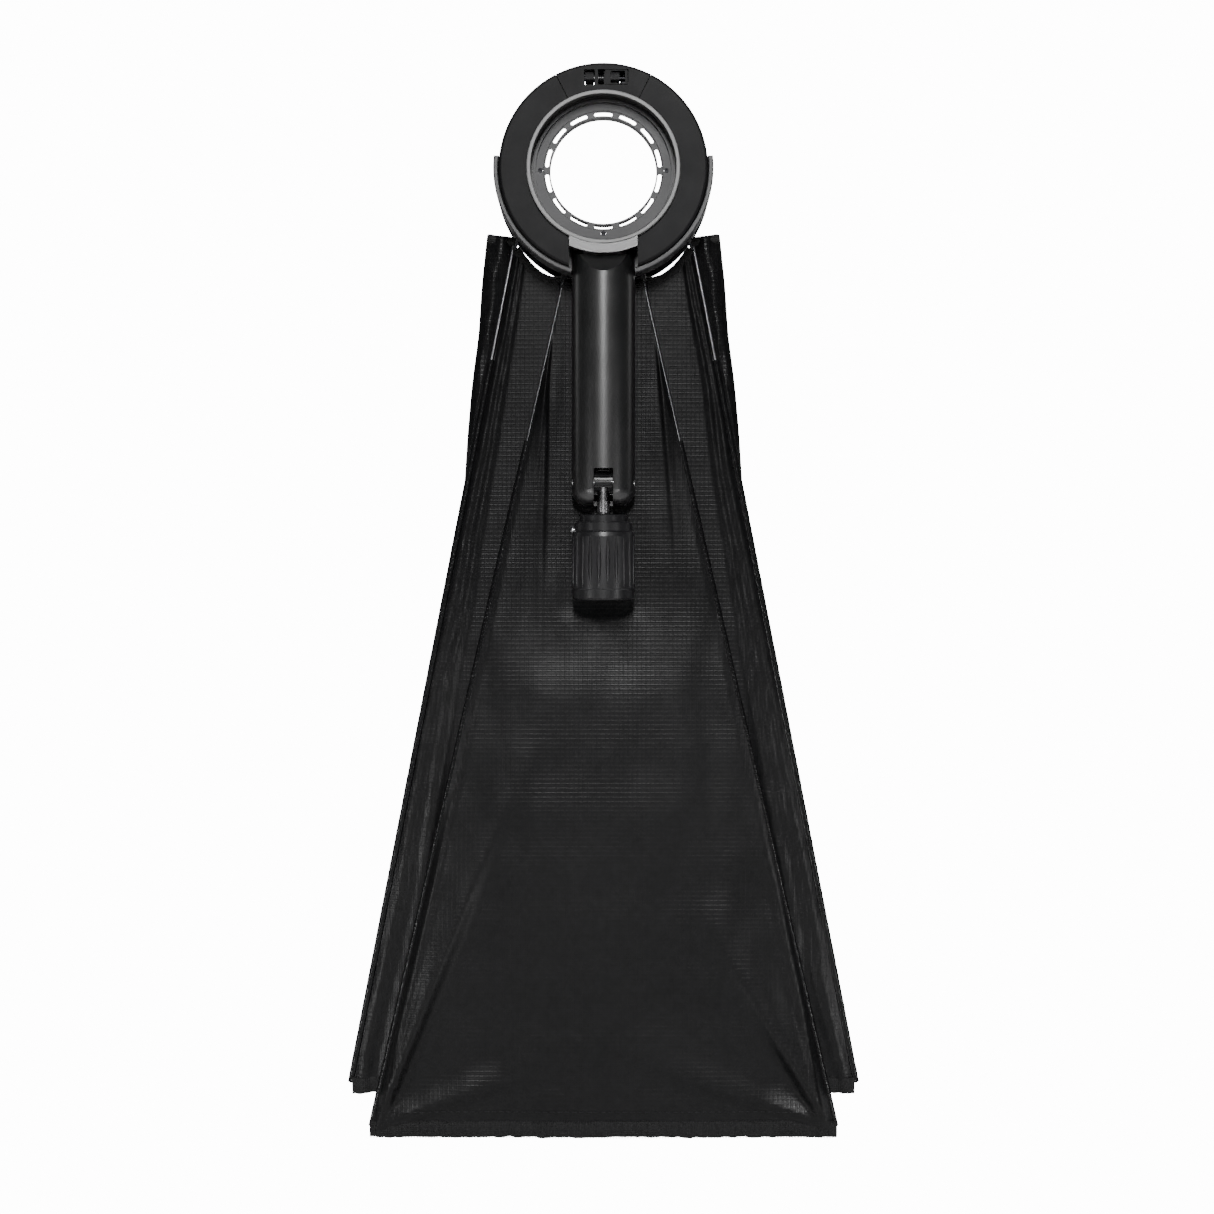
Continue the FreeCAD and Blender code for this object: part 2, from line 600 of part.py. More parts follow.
def open_direction(angle):
    """Where a rib points once the box is open: back along +Y and outward."""
    spread = math.sin(math.radians(dim("rib_splay"))) / math.sin(math.pi / 8)
    forward = math.sqrt(1 - spread * spread)
    return Vector(spread * math.sin(angle), forward, -spread * math.cos(angle))


def rest_direction(lean):
    """Where a folded rib points: down, leaning out by an angle in degrees."""
    return Vector(math.sin(math.radians(lean)), 0, -math.cos(math.radians(lean)))


def carried(direction, normal, to_direction, to_normal):
    """The rotation that carries one direction and normal onto another pair."""
    first = Rotation(direction, normal.cross(direction), normal, "ZYX")
    second = Rotation(to_direction, to_normal.cross(to_direction), to_normal, "ZYX")
    return second.multiply(first.inverted())


STEP = math.pi / 4
LOW, SIDE = STEP / 2, 3 * STEP / 2


class Rib:
    """A lower rib on the right. The other seven are its mirror images."""

    def __init__(self, angle, depth, lean, next_angle, next_depth):
        self.base = rib_base(angle, depth)
        self.rest = rest_direction(lean)
        self.open = open_direction(angle)
        next_tip = rib_base(next_angle, next_depth) + open_direction(next_angle) * dim("rib_length")
        across = self.open.cross(next_tip - self.base).normalize()
        if across.dot(Vector(math.sin(angle), 0, -math.cos(angle))) < 0:
            across = -across
        self.turn = carried(self.rest, -Y_AXIS, self.open, across)
        self.axis = self.turn.Axis


def lower_ribs(side_lean):
    """The bottom rib and the side rib of the right-hand half."""
    low_depth, side_depth = dim("bottom_rib_depth"), dim("side_rib_depth")
    bottom = Rib(LOW, low_depth, dim("rib_splay"), -LOW, low_depth)
    side = Rib(SIDE, side_depth, side_lean, LOW, low_depth)
    return bottom, side


def mirrored(shape, left, upper):
    """The shape's image on the left side, or in the folded upper half, or both."""
    made = shape
    if left:
        made = made.mirror(Vector(), X_AXIS)
    if upper:
        made = made.mirror(Vector(0, dim("fold_depth"), 0), Y_AXIS)
    return made


QUARTERS = [("left", "low", True, False), ("right", "low", False, False),
            ("left", "high", True, True), ("right", "high", False, True)]


def ribs():
    for hand, level, left, upper in QUARTERS:
        lean = dim("high_rib_lean") if upper else dim("low_rib_lean")
        bottom, side = lower_ribs(lean)
        outer = "top" if upper else "bottom"
        for rib, name in ((bottom, f"{outer}_{hand}"), (side, f"{level}_{hand}")):
            start = rib.base + rib.rest * 7.0
            rod = Part.makeCylinder(dim("rib_radius"), dim("rib_length") - 11.0, start,
                                    rib.rest)
            keep(part_of(f"Rib_{name}", [mirrored(rod, left, upper)]), f"rib_{name}")
            keep(part_of(f"Knuckle_{name}", [mirrored(knuckle(rib), left, upper)]),
                 f"knuckle_{name}")


def knuckle(rib):
    """A barrel on the rib's pin, with the socket that holds the rod."""
    half, radius = 2.2, dim("knuckle_radius")
    barrel = Part.makeCylinder(radius, 2 * half, rib.base - rib.axis * half, rib.axis)
    socket = Part.makeCylinder(1.9, 14.0, rib.base, rib.rest)
    bore = Part.makeCylinder(dim("rib_pin_radius") + 0.06, 20, rib.base - rib.axis * 10,
                             rib.axis)
    seat = Part.makeCylinder(dim("rib_radius"), 20.0, rib.base + rib.rest * 7.0, rib.rest)
    return barrel.fuse(socket).removeSplitter().cut([bore, seat])


def ears(rib):
    """Two lugs on the hub that hold a rib's pin, one each side of its knuckle."""
    gap, thickness, radius = 2.6, 1.5, 2.9
    made = []
    down = -Y_AXIS - rib.axis * (-Y_AXIS).dot(rib.axis)
    down.normalize()
    side = rib.axis.cross(down)
    for sign in (-1, 1):
        foot = rib.base + rib.axis * (sign * (gap + thickness / 2))
        face = foot - rib.axis * (thickness / 2)
        disc = Part.makeCylinder(radius, thickness, face, rib.axis)
        reach = (rib.base.y - dim("hub_back") + 2.0) / -down.y
        corners = [face + side * radius, face + side * radius + down * reach,
                   face - side * radius + down * reach, face - side * radius]
        web = Part.Face(Part.makePolygon(corners + corners[:1])).extrude(rib.axis * thickness)
        bore = Part.makeCylinder(dim("rib_pin_radius"), 20, rib.base - rib.axis * 10,
                                 rib.axis)
        made.append(disc.fuse(web).removeSplitter().cut(bore))
    return made


def rib_pin(rib):
    return Part.makeCylinder(dim("rib_pin_radius"), 8.2, rib.base - rib.axis * 4.1, rib.axis)


# ---------------------------------------------------------------- hub halves
def half_hub(inner_ears, lean):
    """Half of the folding hub, lower half, with its rib lugs and its fold lugs."""
    front, back = dim("hub_front"), dim("hub_back")
    outer = Part.makeCylinder(dim("hub_outer"), back - front, Vector(0, front, 0), Y_AXIS)
    inner = Part.makeCylinder(dim("hub_inner"), 60, Vector(0, 0, 0), Y_AXIS)
    above = Part.makeBox(200, 100, 200, Vector(-100, -10, -dim("hub_end")))
    body = outer.cut([inner, above])
    lugs, bores = [], []
    inside, outside = (49.6, 54.2) if inner_ears else (54.5, 58.6)
    fold, pin = dim("fold_depth"), dim("fold_pin_radius") + 0.05
    for sign in (-1, 1):
        low_x = min(sign * inside, sign * outside)
        lug = Part.makeBox(outside - inside, fold - front, dim("hub_end") + 5.2,
                           Vector(low_x, front, -dim("hub_end") - 0.6))
        nose = Part.makeCylinder(4.6, outside - inside, Vector(low_x, fold, 0), X_AXIS)
        lugs += [lug, nose]
        bores.append(Part.makeCylinder(pin, 40, Vector(sign * 54 - 20, fold, 0), X_AXIS))
        for rib in lower_ribs(lean):
            hand = [e if sign > 0 else e.mirror(Vector(), X_AXIS) for e in ears(rib)]
            lugs += hand
    return body.fuse(lugs).removeSplitter().cut(bores)


def hubs():
    lower = half_hub(False, dim("low_rib_lean"))
    spaces = [Part.makeCylinder(2.3, 4, Vector(x, dim("hub_back") - 2.1, z), Y_AXIS)
              for x, z in hub_screw_places()]
    spaces += [Part.makeCylinder(1.3, 10, Vector(x, dim("hub_back") - 8, z), Y_AXIS)
               for x, z in hub_screw_places()]
    keep(part_of("HubLower", [lower.cut(spaces)]), "hub_lower")
    upper = half_hub(True, dim("high_rib_lean")).mirror(Vector(0, dim("fold_depth"), 0), Y_AXIS)
    striker = Part.makeBox(23, 5, 12, Vector(-11.5, 2 * dim("fold_depth") - dim("hub_back") + 1.6,
                                            -dim("window_high") - 0.8))
    keep(part_of("HubUpper", [upper.cut(striker)]), "hub_upper")
    fold = dim("fold_depth")
    pins = [Part.makeCylinder(dim("fold_pin_radius"), 9.2, Vector(min(s * 49.5, s * 58.7), fold, 0),
                              X_AXIS) for s in (-1, 1)]
    keep(part_of("HubFoldPins", pins), "hub_fold_pins")
    for upper_half, label in ((False, "lower"), (True, "upper")):
        lean = dim("high_rib_lean") if upper_half else dim("low_rib_lean")
        pins = [mirrored(rib_pin(rib), left, upper_half)
                for rib in lower_ribs(lean) for left in (False, True)]
        keep(part_of(f"RibPins_{label}", pins), f"rib_pins_{label}")


# ---------------------------------------------------------------- cloth panels
def panel(origin, along, inward, normal, width_neck, width_mouth, neck, far_neck, slant):
    """A flat trapezoid of cloth with a scalloped neck, thickened along its normal."""
    length = dim("rib_length")
    corner_a = origin + along * neck
    corner_b = origin + along * length
    corner_c = origin + along * (length + slant) + inward * width_mouth
    corner_d = origin + along * far_neck + inward * width_neck
    middle = (corner_a + corner_d) * 0.5 + along * dim("hem_scallop")
    edges = [Part.LineSegment(corner_a, corner_b).toShape(),
             Part.LineSegment(corner_b, corner_c).toShape(),
             Part.LineSegment(corner_c, corner_d).toShape(),
             Part.Arc(corner_d, middle, corner_a).toShape()]
    thickness = dim("cloth_thickness")
    face = Part.Face(Part.Wire(edges))
    face.translate(normal * (-thickness / 2))
    return face.extrude(normal * thickness)


def bottom_panel():
    """The panel between the two bottom ribs, in front of them."""
    bottom, _ = lower_ribs(dim("low_rib_lean"))
    lift = Vector(0, -dim("cloth_gap"), 0)
    neck = bottom.base + bottom.rest * dim("hem_low") + lift
    tip = bottom.base + bottom.rest * dim("rib_length") + lift
    other_neck, other_tip = Vector(-neck.x, neck.y, neck.z), Vector(-tip.x, tip.y, tip.z)
    dip = Vector(0, neck.y, neck.z - dim("hem_dip"))
    edges = [Part.LineSegment(neck, tip).toShape(), Part.LineSegment(tip, other_tip).toShape(),
             Part.LineSegment(other_tip, other_neck).toShape(),
             Part.Arc(other_neck, dip, neck).toShape()]
    face = Part.Face(Part.Wire(edges))
    face.translate(Vector(0, -dim("cloth_thickness") / 2, 0))
    return face.extrude(Vector(0, dim("cloth_thickness"), 0))


def side_corners(rib, far_base, far_direction, far_neck):
    """Where the far rib's neck and tip come, seen in the folded rib's own plane.
    Each is (along the rib, across from it)."""
    back = rib.turn.inverted()
    found = []
    for reach in (far_neck, dim("rib_length")):
        point = back.multVec(far_base + far_direction * reach - rib.base)
        along = point.dot(rib.rest)
        found.append((along, (point - rib.rest * along).Length))
    return found


def lower_side_panel(rib, behind):
    """The panel between the side rib and the bottom rib, folded in behind the bottom one."""
    far = rib_base(LOW, dim("bottom_rib_depth"))
    (neck_along, neck_width), (tip_along, tip_width) = side_corners(
        rib, far, open_direction(LOW), dim("hem_low_folded"))
    inward = Vector(rib.rest.z, 0, -rib.rest.x)
    origin = rib.base + Vector(0, -behind, 0)
    edge = dim("rib_radius") + 0.4
    return panel(origin + inward * edge, rib.rest, inward, -Y_AXIS, neck_width - edge,
                 tip_width - edge, dim("hem_side"), neck_along, tip_along - dim("rib_length"))


def far_side_point(reach):
    """A point along the upper side rib once open, where z=0 mirrors the lower one."""
    point = rib_base(SIDE, dim("side_rib_depth")) + open_direction(SIDE) * reach
    return Vector(point.x, point.y, -point.z)


def middle_panel(rib, behind):
    """The panel between the two side ribs of one side, folded in behind the lower rib."""
    spread = []
    for reach in (dim("hem_side"), dim("rib_length")):
        point = far_side_point(reach) - rib.base
        along = point.dot(rib.open)
        spread.append((along, (point - rib.open * along).Length))
    (neck_along, neck_width), (tip_along, tip_width) = spread
    inward = Vector(rib.rest.z, 0, -rib.rest.x)
    origin = rib.base + Vector(0, behind, 0)
    edge = dim("rib_radius") + 0.4
    return panel(origin + inward * edge, rib.rest, inward, Y_AXIS, neck_width - edge,
                 tip_width - edge, dim("hem_side"), neck_along, tip_along - dim("rib_length"))


def panels():
    keep(part_of("PanelBottom", [bottom_panel()]), "panel_bottom")
    keep(part_of("PanelTop", [mirrored(bottom_panel(), False, True)]), "panel_top")
    for hand, level, left, upper in QUARTERS:
        lean = dim("high_rib_lean") if upper else dim("low_rib_lean")
        _, side = lower_ribs(lean)
        behind = 2.5 if left else 1.8
        cloth = lower_side_panel(side, behind)
        keep(part_of(f"Panel_{level}_{hand}", [mirrored(cloth, left, upper)]),
             f"panel_{level}_{hand}")
    _, side = lower_ribs(dim("low_rib_lean"))
    for hand, left, behind in (("left", True, 2.3), ("right", False, 3.4)):
        cloth = mirrored(middle_panel(side, behind), left, False)
        keep(part_of(f"Panel_side_{hand}", [cloth]), f"panel_side_{hand}")


# ---------------------------------------------------------------- build and write
def build():
    ring_body()
    covers()
    vent_flange()
    ring_screws()
    latch()
    grip()
    cradle()
    receiver()
    hubs()
    ribs()
    panels()
    doc.recompute()
    failed = [o.Name for o in doc.Objects if {"Invalid", "Error"} & set(o.State)]
    if failed:
        raise RuntimeError(f"objects failed: {failed}")
    for made in PARTS:
        shape = made.Shape
        if shape.isNull() or not shape.isValid() or not shape.Solids:
            raise RuntimeError(f"{made.Label} has no valid solid")
    for made in PARTS:
        made.Shape.exportStep(f"parts/{made.Label}.step")
        print(f"{made.Label:22s} solids {len(made.Shape.Solids)}  "
              f"volume {made.Shape.Volume:10.1f} mm3")
    print(len(PARTS), "sub-parts")


build()
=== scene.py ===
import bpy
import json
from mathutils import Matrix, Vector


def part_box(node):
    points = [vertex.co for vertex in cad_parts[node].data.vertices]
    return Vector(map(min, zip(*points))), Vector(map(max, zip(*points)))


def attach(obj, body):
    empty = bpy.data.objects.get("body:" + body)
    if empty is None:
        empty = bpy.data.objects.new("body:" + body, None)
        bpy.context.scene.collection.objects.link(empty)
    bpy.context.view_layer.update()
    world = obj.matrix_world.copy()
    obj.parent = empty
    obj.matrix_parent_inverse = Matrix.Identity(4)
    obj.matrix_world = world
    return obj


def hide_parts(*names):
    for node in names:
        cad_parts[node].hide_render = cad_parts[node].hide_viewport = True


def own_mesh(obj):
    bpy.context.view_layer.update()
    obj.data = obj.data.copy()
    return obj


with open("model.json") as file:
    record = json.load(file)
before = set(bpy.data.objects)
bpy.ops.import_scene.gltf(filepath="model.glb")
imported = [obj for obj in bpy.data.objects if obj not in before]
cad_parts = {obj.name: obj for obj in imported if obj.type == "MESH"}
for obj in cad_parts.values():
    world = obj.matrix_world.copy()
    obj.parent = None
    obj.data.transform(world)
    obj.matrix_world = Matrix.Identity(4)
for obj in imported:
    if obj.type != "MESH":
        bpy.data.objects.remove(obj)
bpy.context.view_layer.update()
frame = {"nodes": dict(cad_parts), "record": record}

import json
import math

import bpy
from mathutils import Vector, noise

# The snoot hangs folded: metres, with the ring's axis along Y, its front at -Y, and +Z up.
MM = 0.001
WHITE_OUT = 14.0  # how bright the backdrop shows: a plain white
RIM_INSIDE, RIM_OUTSIDE = 39.95 * MM, 42.4 * MM  # where the ring housing is light grey
WEAVE, RIPSTOP = 1.3 * MM, 2.5 * MM  # the cloth's plain weave and its thicker threads
PAINTED_SHADE_FROM, PAINTED_SHADE_TO = -0.30, -0.12  # heights between which the cloth shines less: painted shade towards the neck
CAMERA_AT = (0.002, -1.65, -0.2406)
VIEW_WIDTH = 0.6677  # how much of the ring's plane the picture spans
CAP_LENGTH = 9 * MM
SHOULDER_START, SHOULDER_LENGTH, SHOULDER_REACH = 9 * MM, 150 * MM, 15 * MM

# Folds of the front panel, as (start, end, width, height in mm), with x and z in metres.
FRONT_PULLS = (
    ((-0.126, -0.531), (-0.042, -0.315), 0.012, 12.0),
    ((-0.124, -0.531), (-0.090, -0.350), 0.007, 7.5),
    ((-0.127, -0.530), (0.012, -0.480), 0.010, 4.5),
    ((-0.118, -0.500), (-0.062, -0.250), 0.006, 5.0),
    ((0.126, -0.531), (0.050, -0.400), 0.013, 11.5),
    ((0.124, -0.531), (0.082, -0.330), 0.008, 7.5),
    ((0.127, -0.530), (-0.006, -0.484), 0.010, 4.5),
    ((0.119, -0.500), (0.066, -0.240), 0.006, 4.6))
# Twists that run down beside the grip, as (x at the top, x and z at the foot, width, height).
GRIP_TWISTS = (
    (-0.027, -0.041, -0.200, 0.0028, 3.0), (-0.032, -0.047, -0.170, 0.0022, 2.6),
    (-0.030, -0.036, -0.280, 0.0030, 2.2), (0.028, 0.042, -0.230, 0.0028, 2.2),
    (0.032, 0.047, -0.160, 0.0022, 1.8))
TWIST_TOP = -0.070
# Folds of the back panel, as (reach inward, z at the top, width, height).
BACK_PULLS = (
    (0.050, -0.300, 0.013, 0.0040), (0.105, -0.400, 0.014, 0.0030),
    (0.015, -0.230, 0.009, 0.0026))
# Lamps, as (name, place, aim, width, height, watts, spread in degrees).
LAMPS = (
    ("key_front", (0.0, -1.9, 0.70), (0, 0, -0.2), 0.16, 0.7, 36, 180),
    ("sheen_left", (-1.0, -1.3, 0.9), (0, 0, -0.4), 0.12, 0.5, 2.5, 180),
    ("sheen_right", (0.9, -1.4, 0.7), (0, 0, -0.4), 0.12, 0.5, 2, 180),
    ("low_front", (0.1, -1.7, -0.95), (0, 0, -0.4), 0.3, 0.3, 3, 180),
    ("fold_left", (-0.95, -0.75, -0.55), (-0.02, 0, -0.44), 0.10, 0.4, 0.12, 24),
    ("fold_right", (0.95, -0.75, -0.50), (0.02, 0, -0.44), 0.10, 0.4, 0.09, 24),
    ("edge_left", (-1.3, 0.6, 0.1), (0, 0, -0.25), 0.25, 1.4, 1.2, 180),
    ("edge_right", (1.3, 0.6, 0.1), (0, 0, -0.25), 0.25, 1.4, 1.2, 180),
    ("top", (0.0, 0.15, 1.4), (0, 0, -0.1), 0.4, 0.4, 5, 180),
    ("back_fill", (0.4, 1.5, 0.6), (0, 0, -0.25), 1.0, 1.0, 12, 180))

# ---------------------------------------------------------------- shader helpers


class Shader:
    """A Principled material, built up one detail at a time."""

    def __init__(self, name, colour, roughness, metallic=0.0, **sockets):
        self.material = bpy.data.materials.new(name)
        self.material.use_nodes = True
        self.nodes = self.material.node_tree.nodes
        self.links = self.material.node_tree.links
        self.base = self.nodes["Principled BSDF"]
        self.base.inputs["Base Color"].default_value = (*colour, 1)
        self.base.inputs["Roughness"].default_value = roughness
        self.base.inputs["Metallic"].default_value = metallic
        for socket, number in sockets.items():
            self.base.inputs[socket.replace("_", " ")].default_value = number
        self.colour = colour
        self.normal = None
        self.place = self.nodes.new("ShaderNodeTexCoord").outputs["Object"]

    def node(self, kind, **settings):
        made = self.nodes.new(kind)
        for setting, value in settings.items():
            setattr(made, setting, value)
        return made

    def scaled(self, x, y, z):
        mapping = self.node("ShaderNodeMapping")
        mapping.inputs["Scale"].default_value = (x, y, z)
        self.links.new(self.place, mapping.inputs["Vector"])
        return mapping.outputs["Vector"]

    def noise(self, scale, detail=3.0, vector=None):
        made = self.node("ShaderNodeTexNoise")
        made.inputs["Scale"].default_value = scale
        made.inputs["Detail"].default_value = detail
        self.links.new(vector or self.place, made.inputs["Vector"])
        return made.outputs["Fac"]

    def pebbles(self, scale):
        made = self.node("ShaderNodeTexVoronoi", feature="SMOOTH_F1")
        made.inputs["Scale"].default_value = scale
        self.links.new(self.place, made.inputs["Vector"])
        return made.outputs["Distance"]

    def bands(self, period, direction):
        made = self.node("ShaderNodeTexWave", bands_direction=direction)
        made.inputs["Scale"].default_value = 2 * math.pi / (20 * period)
        self.links.new(self.place, made.inputs["Vector"])
        return made.outputs["Fac"]

    def maths(self, operation, first, second=None):
        made = self.node("ShaderNodeMath", operation=operation)
        for socket, value in zip(made.inputs, (first, second)):
            if isinstance(value, (int, float)):
                socket.default_value = value
            elif value is not None:
                self.links.new(value, socket)
        return made.outputs[0]

    def bump(self, height, distance, strength):
        made = self.node("ShaderNodeBump")
        made.inputs["Distance"].default_value = distance
        made.inputs["Strength"].default_value = strength
        self.links.new(height, made.inputs["Height"])
        if self.normal:
            self.links.new(self.normal, made.inputs["Normal"])
        self.normal = made.outputs["Normal"]
        self.links.new(self.normal, self.base.inputs["Normal"])
        return self

    def vary_colour(self, mask, other, low=0.35, high=0.65):
        """The colour turns from the base to other as the mask goes from low to high."""
        ramp = self.node("ShaderNodeValToRGB")
        ramp.color_ramp.elements[0].position = low
        ramp.color_ramp.elements[0].color = (*self.colour, 1)
        ramp.color_ramp.elements[1].position = high
        ramp.color_ramp.elements[1].color = (*other, 1)
        self.links.new(mask, ramp.inputs["Fac"])
        self.links.new(ramp.outputs["Color"], self.base.inputs["Base Color"])
        return self

    def vary_roughness(self, mask, low, high):
        spread = self.node("ShaderNodeMapRange")
        spread.inputs["To Min"].default_value = low
        spread.inputs["To Max"].default_value = high
        self.links.new(mask, spread.inputs["Value"])
        self.links.new(spread.outputs["Result"], self.base.inputs["Roughness"])
        return self


def plastic(name, colour, roughness, grain, depth, gloss=0.5):
    """Moulded plastic with a spark-eroded grain and faint handling marks."""
    made = Shader(name, colour, roughness, Specular_IOR_Level=gloss)
    made.bump(made.noise(1 / (grain * MM), 2.0), depth * MM, 0.7)
    made.vary_roughness(made.noise(60, 4.0), roughness - 0.07, roughness + 0.09)
    made.vary_colour(made.noise(25, 3.0), tuple(c * 1.35 + 0.002 for c in colour))
    return made


def pebbled(name, colour, roughness, pitch, depth, gloss=0.5):
    """Leather-like pebbled moulding."""
    made = Shader(name, colour, roughness, Specular_IOR_Level=gloss,
                  Coat_Weight=max(0.0, gloss - 0.5), Coat_Roughness=0.28)
    made.bump(made.pebbles(1 / (pitch * MM)), -depth * MM, 0.8)
    made.bump(made.noise(4 / (pitch * MM), 2.0), 0.2 * depth * MM, 0.5)
    made.vary_roughness(made.noise(45, 4.0), roughness - 0.05, roughness + 0.1)
    made.vary_colour(made.noise(30, 3.0), tuple(c * 1.25 + 0.002 for c in colour))
    return made


def metal(name, colour, roughness, axis_scale=(900, 90, 900)):
    """Turned or drawn metal with fine tool lines."""
    made = Shader(name, colour, roughness, 1.0)
    lines = made.noise(1.0, 4.0, made.scaled(*axis_scale))
    made.bump(lines, 0.02 * MM, 0.35)
    made.vary_roughness(lines, roughness - 0.08, roughness + 0.12)
    made.vary_colour(made.noise(80, 3.0), tuple(c * 0.82 for c in colour))
    return made


def radius_of(made):
    """Distance from the ring's axis, as a shader value in metres."""
    flat = made.scaled(1, 0, 1)
    length = made.node("ShaderNodeVectorMath", operation="LENGTH")
    made.links.new(flat, length.inputs[0])
    return length.outputs["Value"]


def rim_material():
    """Light-grey pebbled rim, turning black inside the socket and behind the cover."""
    made = pebbled("rim_grey", (0.012, 0.012, 0.012), 0.42, 0.9, 0.10)
    radius = radius_of(made)
    past_socket = made.maths("GREATER_THAN", radius, RIM_INSIDE)
    within_rim = made.maths("LESS_THAN", radius, RIM_OUTSIDE)
    on_rim = made.maths("MULTIPLY", past_socket, within_rim)
    made.vary_colour(on_rim, (0.26, 0.26, 0.26), 0.4, 0.6)
    return made.material


def painted_shade_towards_neck(made, mouth_level, neck_level):
    """Painted shade: less shine towards the neck, a guess that only matches the photograph's
    brightness.
    """
    height = made.node("ShaderNodeSeparateXYZ")
    made.links.new(made.place, height.inputs["Vector"])
    spread = made.node("ShaderNodeMapRange")
    for socket, number in (("From Min", PAINTED_SHADE_FROM), ("From Max", PAINTED_SHADE_TO),
                           ("To Min", mouth_level), ("To Max", neck_level)):
        spread.inputs[socket].default_value = number
    made.links.new(height.outputs["Z"], spread.inputs["Value"])
    made.links.new(spread.outputs["Result"], made.base.inputs["Specular IOR Level"])


def cloth(name, colour, roughness):
    """Coated ripstop nylon: a plain weave crossed by thicker threads every 2.5 mm."""
    made = Shader(name, colour, roughness, Sheen_Weight=0.03, Sheen_Roughness=0.4,
                  Specular_IOR_Level=0.27)
    warp, weft = made.bands(WEAVE, "X"), made.bands(WEAVE, "Z")
    made.bump(made.maths("MULTIPLY", warp, weft), 0.05 * MM, 0.55)
    thick = made.maths("MAXIMUM", made.bands(RIPSTOP, "X"), made.bands(RIPSTOP, "Z"))
    made.bump(made.maths("POWER", thick, 8.0), 0.07 * MM, 0.6)
    made.bump(made.noise(38, 5.0), 0.9 * MM, 0.4)
    made.vary_roughness(made.noise(14, 4.0), roughness - 0.06, roughness + 0.1)
    # painted shade: the cloth shines less towards the neck
    painted_shade_towards_neck(made, 0.27, 0.13)
    made.vary_colour(made.noise(220, 3.0), tuple(c * 1.5 for c in colour))
    return made.material


def webbing(name, colour, roughness, period):
    """Binding tape and overlock thread: ribs across, fuzzed by noise."""
    made = Shader(name, colour, roughness, Sheen_Weight=0.04, Sheen_Roughness=0.6,
                  Specular_IOR_Level=0.3)
    made.bump(made.maths("MULTIPLY", made.bands(period, "X"), made.bands(period, "Z")),
              0.35 * MM, 0.7)
    made.bump(made.noise(1500, 4.0), 0.3 * MM, 0.6)
    made.vary_colour(made.noise(900, 2.0), tuple(c * 2.2 for c in colour))
    return made.material


MATERIALS = {
    "rim_grey": rim_material(),
    "ring_dark": plastic("ring_dark", (0.0065, 0.0065, 0.007), 0.5, 0.45, 0.035, 0.15).material,
    "flange_grey": pebbled("flange_grey", (0.075, 0.075, 0.077), 0.45, 0.9, 0.05, 0.3).material,
    "grip_black": pebbled("grip_black", (0.007, 0.007, 0.0075), 0.30, 0.75, 0.05, 1.0).material,
    "cradle_black": plastic("cradle_black", (0.02, 0.02, 0.021), 0.38, 0.4, 0.03).material,
    "knob_black": plastic("knob_black", (0.010, 0.010, 0.011), 0.34, 0.35, 0.02).material,
    "steel": metal("steel", (0.55, 0.55, 0.56), 0.25).material,
    "screw_steel": metal("screw_steel", (0.45, 0.45, 0.46), 0.3, (700, 700, 700)).material,
    "dark_steel": metal("dark_steel", (0.02, 0.02, 0.022), 0.4).material,
    "hub_metal": plastic("hub_metal", (0.014, 0.014, 0.015), 0.4, 0.5, 0.03).material,
    "rib_steel": metal("rib_steel", (0.30, 0.30, 0.31), 0.3, (900, 900, 90)).material,
    "cloth_black": cloth("cloth_black", (0.0034, 0.0034, 0.0037), 0.34),
    "cloth_satin": cloth("cloth_satin", (0.0042, 0.0042, 0.0045), 0.24),
    "binding": webbing("binding", (0.0032, 0.0032, 0.0034), 0.6, 1.1 * MM),
    "thread": webbing("thread", (0.0045, 0.0045, 0.005), 0.5, 0.5 * MM),
}


def dress_cad_nodes():
    """Gives each CAD node its material; the latch's moving parts are darker than the cradle."""
    slots = {row["node"]: row["material_slot"] for row in frame["record"]["subparts"]}
    slots.update({"release_button": "ring_dark", "catch_lever": "knob_black"})
    for name, piece in frame["nodes"].items():
        for index in range(max(1, len(piece.material_slots))):
            if not piece.material_slots:
                piece.data.materials.append(MATERIALS[slots[name]])
            piece.material_slots[index].material = MATERIALS[slots[name]]


# ---------------------------------------------------------------- mesh helpers


def make_piece(name, vertices, faces, material, body):
    """A smooth mesh that rides with a body."""
    mesh = bpy.data.meshes.new(name)
    mesh.from_pydata([tuple(v) for v in vertices], [], faces)
    mesh.validate()
    mesh.update()
    for face in mesh.polygons:
        face.use_smooth = True
    piece = bpy.data.objects.new(name, mesh)
    bpy.context.scene.collection.objects.link(piece)
    mesh.materials.append(MATERIALS[material])
    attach(piece, body)
    return piece


def grid_faces(columns, rows, offset=0, closed=False):
    """Quads over rows of points, with each row holding the given number of columns."""
    faces = []
    around = columns if closed else columns - 1
    for row in range(rows - 1):
        for column in range(around):
            after = (column + 1) % columns
            low = offset + row * columns
            faces.append((low + column, low + after, low + columns + after,
                          low + columns + column))
    return faces


def swept(name, path, profile, material, body, wobble):
    """A closed profile swept along a path, with flat caps. Its first axis is Y."""
    vertices, count = [], len(profile)
    for index, point in enumerate(path):
        before, after = path[max(index - 1, 0)], path[min(index + 1, len(path) - 1)]
        tangent = (after - before).normalized()
        across = Vector((0, 1, 0))
        up = tangent.cross(across).normalized()
        for a, b in profile:
            swell = 1 + wobble * noise.noise(point * 400 + Vector((a, b, 0)) * 900)
            vertices.append(point + (across * a + up * b) * swell)
    faces = grid_faces(count, len(path), closed=True)
    faces.append(tuple(range(count)))
    last = (len(path) - 1) * count
    faces.append(tuple(last + k for k in reversed(range(count))))
    return make_piece(name, vertices, faces, material, body)


def oval(width, height, points):
    """The corners of an oval, from its two half-widths."""
    turns = [2 * math.pi * k / points for k in range(points)]
    return [(width * math.cos(t), height * math.sin(t)) for t in turns]


# ---------------------------------------------------------------- cloth panels


